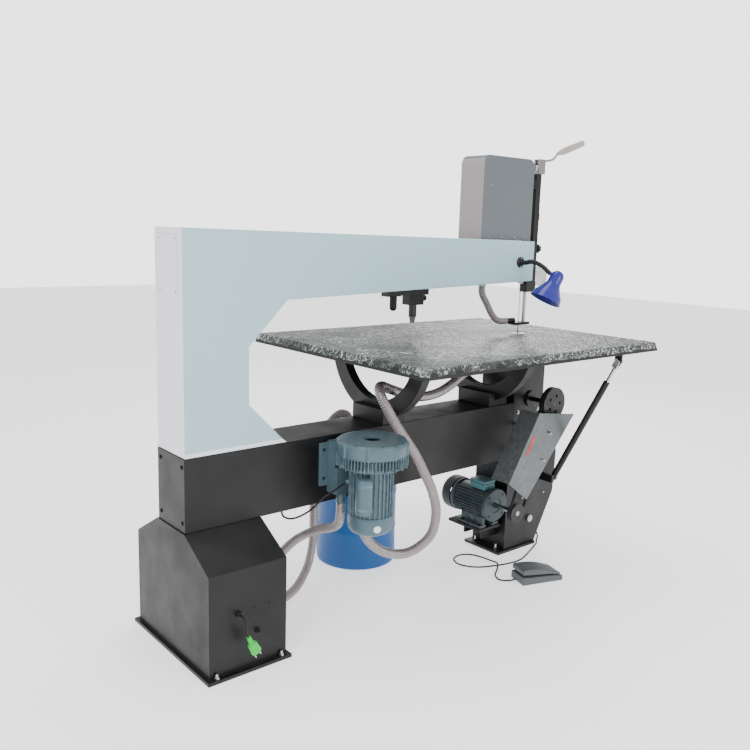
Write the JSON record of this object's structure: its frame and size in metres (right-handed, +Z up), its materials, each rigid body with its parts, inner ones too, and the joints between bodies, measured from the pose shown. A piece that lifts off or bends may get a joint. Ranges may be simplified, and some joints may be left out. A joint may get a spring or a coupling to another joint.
{
  "type": "scroll saw",
  "caption": "Deep-throat scroll saw: C-frame on two pedestals, tilting table, belt-driven blade, dust blower with drum, lamp, drill head and foot switch.",
  "frame": {"origin": "centre of the rear pedestal on the floor", "axes": "+X from the rear column towards the blade, +Y away from the belt side, +Z up"},
  "size_m": [2.0717, 1.02, 1.8357],
  "materials": {
    "rear_pedestal": "satin black paint",
    "lower_beam": "satin black paint",
    "upper_frame": "satin pale blue-grey paint",
    "column_rear_cover": "satin off-white paint",
    "front_upright": "satin black paint",
    "drive_housing": "satin black paint",
    "table_top": "ground steel under clear protective film",
    "table_insert": "ground steel",
    "trunnion_ring_1": "satin black paint",
    "trunnion_ring_2": "satin black paint",
    "trunnion_saddle_1": "satin black paint",
    "trunnion_saddle_2": "satin black paint",
    "strut_tube": "satin black paint",
    "strut_rod": "drawn steel",
    "lower_plunger": "ground steel",
    "saw_blade": "bright spring steel",
    "upper_plunger": "ground steel",
    "connecting_rod": "machined steel",
    "crank_shaft": "machined steel",
    "crank_pulley": "black cast iron",
    "drive_motor": "grey-blue paint on cast aluminium",
    "motor_fan_cowl": "black paint",
    "motor_shaft": "turned steel",
    "motor_pulley": "turned",
    "drive_belt": "matt",
    "belt_guard": "satin grey paint",
    "head_cover": "satin grey paint",
    "head_column": "satin black paint",
    "nose_bracket": "machined steel",
    "head_rail": "satin black paint",
    "chip_shield": "clear plastic",
    "guide_bar": "ground steel",
    "hold_down_foot": "black oxide",
    "clamp_knob": "matt",
    "lever_block": "polished",
    "blade_release_lever": "polished",
    "lamp_base": "black paint",
    "lamp_neck": "black sleeve over a gooseneck",
    "lamp_shade": "gloss blue enamel",
    "lamp_bulb": "opal glass",
    "blower_housing": "blue-grey paint on castings",
    "blower_rotor": "cast",
    "blower_motor": "blue-grey paint on castings",
    "blower_capacitor": "blue-grey plastic",
    "blower_silencer": "blue-grey paint on castings",
    "dust_drum": "blue plastic",
    "drum_lid": "black plastic",
    "lower_dust_hose": "translucent hose with wire spiral",
    "drum_hose": "translucent hose with wire spiral",
    "upper_dust_hose": "translucent hose with wire spiral",
    "blower_cable": "matt",
    "foot_cable": "matt",
    "power_cord": "matt",
    "power_plug": "bright green plastic",
    "pedal_base": "grey plastic",
    "pedal_top": "grey plastic",
    "drill_body": "satin black paint",
    "filter_bowl": "clear plastic",
    "drill_quill": "black oxide",
    "drill_chuck": "ground steel"
  },
  "bodies": {
    "frame": {"rear_pedestal": "rear_pedestal", "lower_beam": "lower_beam", "upper_frame": "upper_frame", "column_rear_cover": "column_rear_cover", "front_upright": "front_upright", "drive_housing": "drive_housing", "trunnion_saddle_1": "trunnion_saddle_1", "trunnion_saddle_2": "trunnion_saddle_2", "drive_motor": "drive_motor", "motor_fan_cowl": "motor_fan_cowl", "drive_belt": "drive_belt", "belt_guard": "belt_guard", "head_cover": "head_cover", "head_column": "head_column", "nose_bracket": "nose_bracket", "head_rail": "head_rail", "chip_shield": "chip_shield", "lever_block": "lever_block", "lamp_base": "lamp_base", "blower_housing": "blower_housing", "blower_motor": "blower_motor", "blower_capacitor": "blower_capacitor", "blower_silencer": "blower_silencer", "dust_drum": "dust_drum", "drum_lid": "drum_lid", "lower_dust_hose": "lower_dust_hose", "drum_hose": "drum_hose", "upper_dust_hose": "upper_dust_hose", "blower_cable": "blower_cable", "foot_cable": "foot_cable", "power_cord": "power_cord", "power_plug": "power_plug", "pedal_base": "pedal_base", "drill_body": "drill_body", "filter_bowl": "filter_bowl"},
    "table": {"table_top": "table_top", "table_insert": "table_insert", "trunnion_ring_1": "trunnion_ring_1", "trunnion_ring_2": "trunnion_ring_2"},
    "strut_lower": {"strut_tube": "strut_tube"},
    "strut_upper": {"strut_rod": "strut_rod"},
    "blade": {"lower_plunger": "lower_plunger", "saw_blade": "saw_blade", "upper_plunger": "upper_plunger"},
    "conrod": {"connecting_rod": "connecting_rod"},
    "crank": {"crank_shaft": "crank_shaft", "crank_pulley": "crank_pulley"},
    "motor_rotor": {"motor_shaft": "motor_shaft", "motor_pulley": "motor_pulley"},
    "hold_down": {"guide_bar": "guide_bar", "hold_down_foot": "hold_down_foot"},
    "knob": {"clamp_knob": "clamp_knob"},
    "lever": {"blade_release_lever": "blade_release_lever"},
    "lamp_arm": {"lamp_neck": "lamp_neck"},
    "lamp_head": {"lamp_shade": "lamp_shade", "lamp_bulb": "lamp_bulb"},
    "fan": {"blower_rotor": "blower_rotor"},
    "pedal": {"pedal_top": "pedal_top"},
    "quill": {"drill_quill": "drill_quill"},
    "spindle": {"drill_chuck": "drill_chuck"}
  },
  "joints": [
    {"name": "table_tilt", "type": "hinge", "parent": "frame", "child": "table", "pos_m": [0.734, 0, 0.975], "axis": [1, 0, 0], "range_deg": [-7.5, 7.5]},
    {"name": "strut_swing", "type": "hinge", "parent": "frame", "child": "strut_lower", "pos_m": [1.604, -0.195, 0.345], "axis": [1, 0, 0], "range_deg": [-2, 2]},
    {"name": "strut_extend", "type": "slide", "parent": "strut_lower", "child": "strut_upper", "axis": [0, -0.4491, 0.8935], "range_m": [-0.062, 0.062]},
    {"name": "blade_stroke", "type": "slide", "parent": "frame", "child": "blade", "axis": [0, 0, 1], "range_m": [-0.04, 0]},
    {"name": "conrod_swing", "type": "hinge", "parent": "blade", "child": "conrod", "pos_m": [1.534, 0, 0.8], "axis": [0, 1, 0], "range_deg": [-13.5, 13.5]},
    {"name": "crank_spin", "type": "hinge", "parent": "frame", "child": "crank", "pos_m": [1.534, -0.215, 0.693], "axis": [0, 1, 0], "continuous": true},
    {"name": "motor_spin", "type": "hinge", "parent": "frame", "child": "motor_rotor", "pos_m": [1.334, -0.215, 0.24], "axis": [0, 1, 0], "continuous": true},
    {"name": "guide_height", "type": "slide", "parent": "frame", "child": "hold_down", "axis": [0, 0, 1], "range_m": [-0.03, 0.08], "deforming": ["upper_dust_hose"]},
    {"name": "knob_turn", "type": "hinge", "parent": "frame", "child": "knob", "pos_m": [1.612, 0, 1.345], "axis": [1, 0, 0], "range_deg": [-90, 360]},
    {"name": "lever_release", "type": "hinge", "parent": "frame", "child": "lever", "pos_m": [1.612, 0, 1.716], "axis": [0, 1, 0], "range_deg": [-20, 30]},
    {"name": "lamp_swivel", "type": "hinge", "parent": "frame", "child": "lamp_arm", "pos_m": [1.41, -0.095, 1.291], "axis": [0, 1, 0], "range_deg": [-35, 35]},
    {"name": "lamp_tilt", "type": "hinge", "parent": "lamp_arm", "child": "lamp_head", "pos_m": [1.44, -0.226, 1.254], "axis": [0.9262, 0.3771, 0], "range_deg": [-18, 20]},
    {"name": "blower_spin", "type": "hinge", "parent": "frame", "child": "fan", "pos_m": [0.502, -0.245, 0.6955], "axis": [0, 0, 1], "continuous": true},
    {"name": "pedal_press", "type": "hinge", "parent": "frame", "child": "pedal", "pos_m": [1.40122, -0.38904, 0.028], "axis": [-0.309, -0.9511, 0], "range_deg": [0, 2.5], "stiffness_Nm_per_rad": 8, "springref_deg": -4.58},
    {"name": "drill_feed", "type": "slide", "parent": "frame", "child": "quill", "axis": [0, 0, 1], "range_m": [-0.035, 0]},
    {"name": "drill_spin", "type": "hinge", "parent": "quill", "child": "spindle", "pos_m": [1.012, 0.1283, 1.045], "axis": [0, 0, 1], "continuous": true}
  ],
  "couplings": [
    {"joint": "strut_swing", "follows": "table_tilt", "ratio": 0.243},
    {"joint": "strut_extend", "follows": "table_tilt", "m_per_rad": -0.4567},
    {"joint": "motor_spin", "follows": "crank_spin", "ratio": 1.769}
  ]
}
